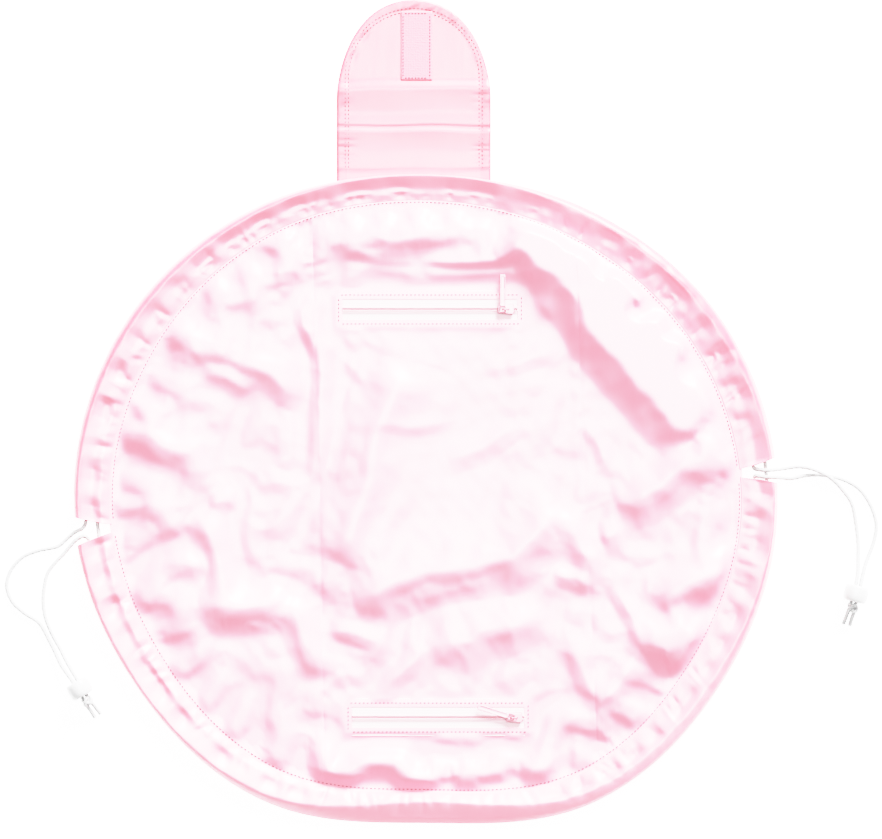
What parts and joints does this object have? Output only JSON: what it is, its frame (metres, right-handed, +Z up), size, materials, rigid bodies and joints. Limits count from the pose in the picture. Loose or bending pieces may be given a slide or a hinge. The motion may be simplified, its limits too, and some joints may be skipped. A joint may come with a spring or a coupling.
{
  "type": "drawstring pouch",
  "caption": "Round flat-opening drawstring pouch of pink satin lying spread open, with a gathered casing, closing flap, zipped inner pockets, cords and beads.",
  "frame": {"origin": "middle of the spread disc, on the surface that it lies on", "axes": "+Z up from that surface, +Y towards the closing flap, +X along the zips towards their closed ends"},
  "size_m": [0.6458, 0.6096, 0.018],
  "materials": {
    "satin": "glossy satin weave",
    "hook_tape": "matte hook tape",
    "zip_tape": "matte woven tape and nylon coil",
    "zip_metal": "smooth paint",
    "cord": "matte braid",
    "bead": "polished"
  },
  "bodies": {
    "pouch": {"shell": "satin", "lining_left": "satin", "lining_centre": "satin", "lining_right": "satin", "casing_upper": "satin", "casing_lower": "satin", "flap": "satin", "hook_strip": "hook_tape", "zip_upper_tape_far": "zip_tape", "zip_upper_tape_near": "zip_tape", "zip_lower_tape_far": "zip_tape", "zip_lower_tape_near": "zip_tape", "cord_left_run": "cord", "cord_right_run": "cord", "cord_left_strand_upper": "cord", "cord_left_strand_lower": "cord", "cord_right_strand_upper": "cord", "cord_right_strand_lower": "cord", "bead_left": "bead", "bead_right": "bead", "knot_left": "cord", "knot_right": "cord"},
    "upper_slider": {"zip_upper_slider": "zip_metal"},
    "upper_pull": {"zip_upper_pull": "zip_metal"},
    "lower_slider": {"zip_lower_slider": "zip_metal"},
    "lower_pull": {"zip_lower_pull": "zip_metal"}
  },
  "joints": [
    {"name": "upper_zip_slide", "type": "slide", "parent": "pouch", "child": "upper_slider", "axis": [-1, 0, 0], "range_m": [0, 0.113]},
    {"name": "upper_pull_swivel", "type": "hinge", "parent": "upper_slider", "child": "upper_pull", "pos_m": [0.0566, 0.141, 0.0069], "axis": [0, 0, 1], "range_deg": [0, 90]},
    {"name": "lower_zip_slide", "type": "slide", "parent": "pouch", "child": "lower_slider", "axis": [-1, 0, 0], "range_m": [0, 0.113]},
    {"name": "lower_pull_flip", "type": "hinge", "parent": "lower_slider", "child": "lower_pull", "pos_m": [0.065, -0.1605, 0.0069], "axis": [0.2924, 0.9563, 0], "range_deg": [0, 165]}
  ]
}
